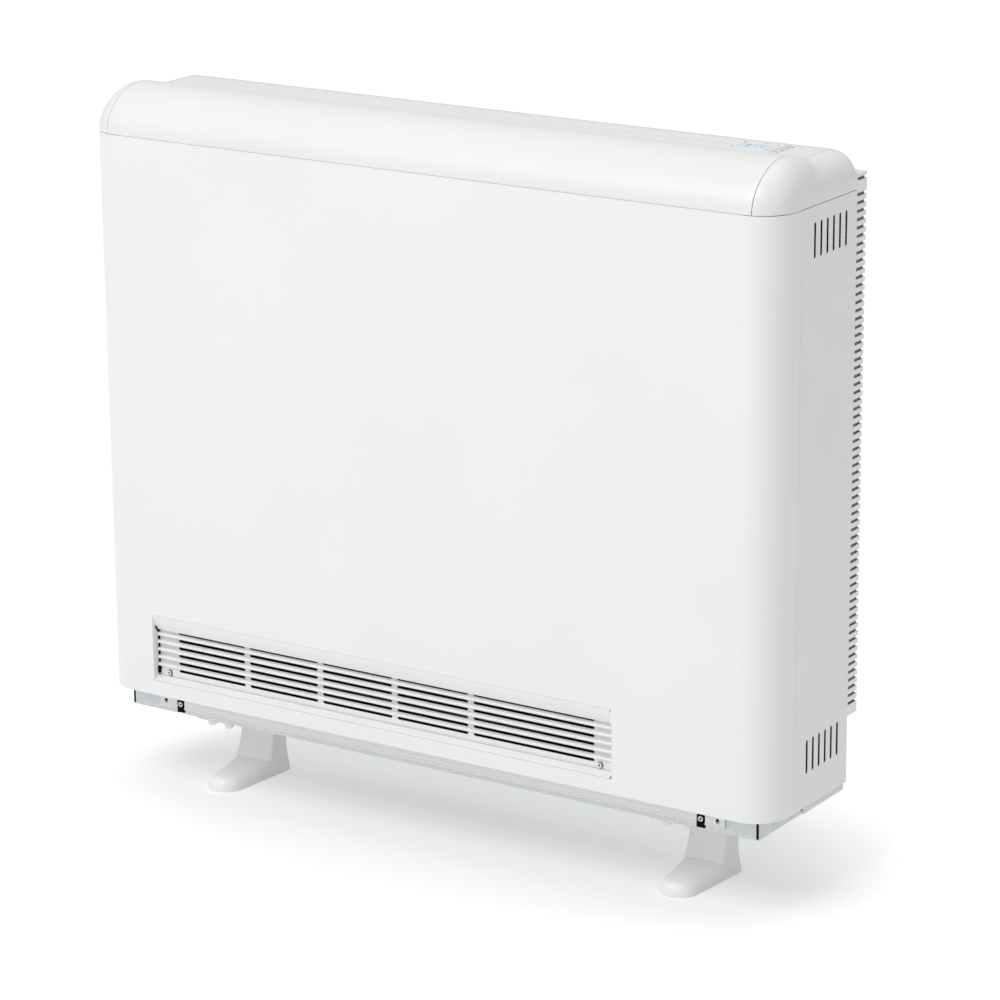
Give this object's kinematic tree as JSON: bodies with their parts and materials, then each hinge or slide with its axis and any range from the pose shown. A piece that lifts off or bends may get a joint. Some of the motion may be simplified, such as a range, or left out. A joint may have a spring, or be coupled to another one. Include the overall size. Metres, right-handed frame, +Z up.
{
  "type": "storage heater",
  "caption": "Upright storage heater: brick core in an insulated steel case, low front air outlet, rounded lid with controls, slotted rear spacer and two moulded feet.",
  "frame": {"origin": "on the floor, under the middle of the heater's overall box", "axes": "+X to the right as seen from the front, +Y backwards to the wall, +Z up; the front faces -Y"},
  "size_m": [0.79, 0.1714, 0.73],
  "materials": {
    "white_paint": "satin",
    "side_paint": "satin",
    "lid_plastic": "gloss",
    "strip_paint": "satin",
    "galvanised": "satin",
    "foot_plastic": "satin",
    "screw_steel": "satin",
    "display_glass": "gloss",
    "key_rubber": "matte",
    "board_green": "satin",
    "insulation": "matte",
    "brick": "matte",
    "element_steel": "matte",
    "fan_steel": "satin",
    "motor_black": "satin",
    "bearing_brass": "satin",
    "black_plastic": "matte"
  },
  "bodies": {
    "body": {"front_panel": "white_paint", "outlet_grille": "white_paint", "grille_screw_left": "screw_steel", "grille_screw_right": "screw_steel", "outlet_duct": "galvanised", "side_panel_left": "side_paint", "side_panel_right": "side_paint", "side_bracket_left": "galvanised", "side_bracket_right": "galvanised", "lid_cover": "lid_plastic", "lid_end_cap_left": "lid_plastic", "lid_end_cap_right": "lid_plastic", "display_window": "display_glass", "control_board": "board_green", "base_tray": "galvanised", "lower_cover_strip": "strip_paint", "strip_screw_left": "screw_steel", "strip_screw_right": "screw_steel", "rear_grille": "white_paint", "foot_left": "foot_plastic", "foot_right": "foot_plastic", "case_front": "galvanised", "case_back": "galvanised", "case_top": "galvanised", "case_side_left": "galvanised", "case_side_right": "galvanised", "core_shelf": "galvanised", "insulation_front": "insulation", "insulation_rear": "insulation", "insulation_top": "insulation", "insulation_base": "insulation", "insulation_left": "insulation", "insulation_right": "insulation", "brick_1_1": "brick", "brick_1_2": "brick", "brick_1_3": "brick", "brick_2_1": "brick", "brick_2_2": "brick", "brick_2_3": "brick", "brick_3_1": "brick", "brick_3_2": "brick", "brick_3_3": "brick", "brick_4_1": "brick", "brick_4_2": "brick", "brick_4_3": "brick", "heating_element_1": "element_steel", "heating_element_2": "element_steel", "heating_element_3": "element_steel", "fan_housing": "galvanised", "fan_bearing": "bearing_brass", "fan_motor": "motor_black", "thermal_cutout": "black_plastic", "terminal_block": "black_plastic", "cable_gland": "black_plastic"},
    "fan": {"fan_rotor": "fan_steel"},
    "flap": {"mixing_flap": "galvanised"},
    "key_1_body": {"key_1": "key_rubber"},
    "key_2_body": {"key_2": "key_rubber"},
    "key_3_body": {"key_3": "key_rubber"},
    "key_4_body": {"key_4": "key_rubber"}
  },
  "joints": [
    {"name": "fan_spin", "type": "hinge", "parent": "body", "child": "fan", "pos_m": [-0.07, 0.01425, 0.135], "axis": [1, 0, 0], "continuous": true},
    {"name": "flap_lift", "type": "hinge", "parent": "body", "child": "flap", "pos_m": [-0.07, -0.02875, 0.2029], "axis": [-1, 0, 0], "range_deg": [0, 35]},
    {"name": "key_1_press", "type": "slide", "parent": "body", "child": "key_1_body", "axis": [0, 0, -1], "range_m": [0, 0.0008], "stiffness_N_per_m": 400},
    {"name": "key_2_press", "type": "slide", "parent": "body", "child": "key_2_body", "axis": [0, 0, -1], "range_m": [0, 0.0008], "stiffness_N_per_m": 400},
    {"name": "key_3_press", "type": "slide", "parent": "body", "child": "key_3_body", "axis": [0, 0, -1], "range_m": [0, 0.0008], "stiffness_N_per_m": 400},
    {"name": "key_4_press", "type": "slide", "parent": "body", "child": "key_4_body", "axis": [0, 0, -1], "range_m": [0, 0.0008], "stiffness_N_per_m": 400}
  ]
}
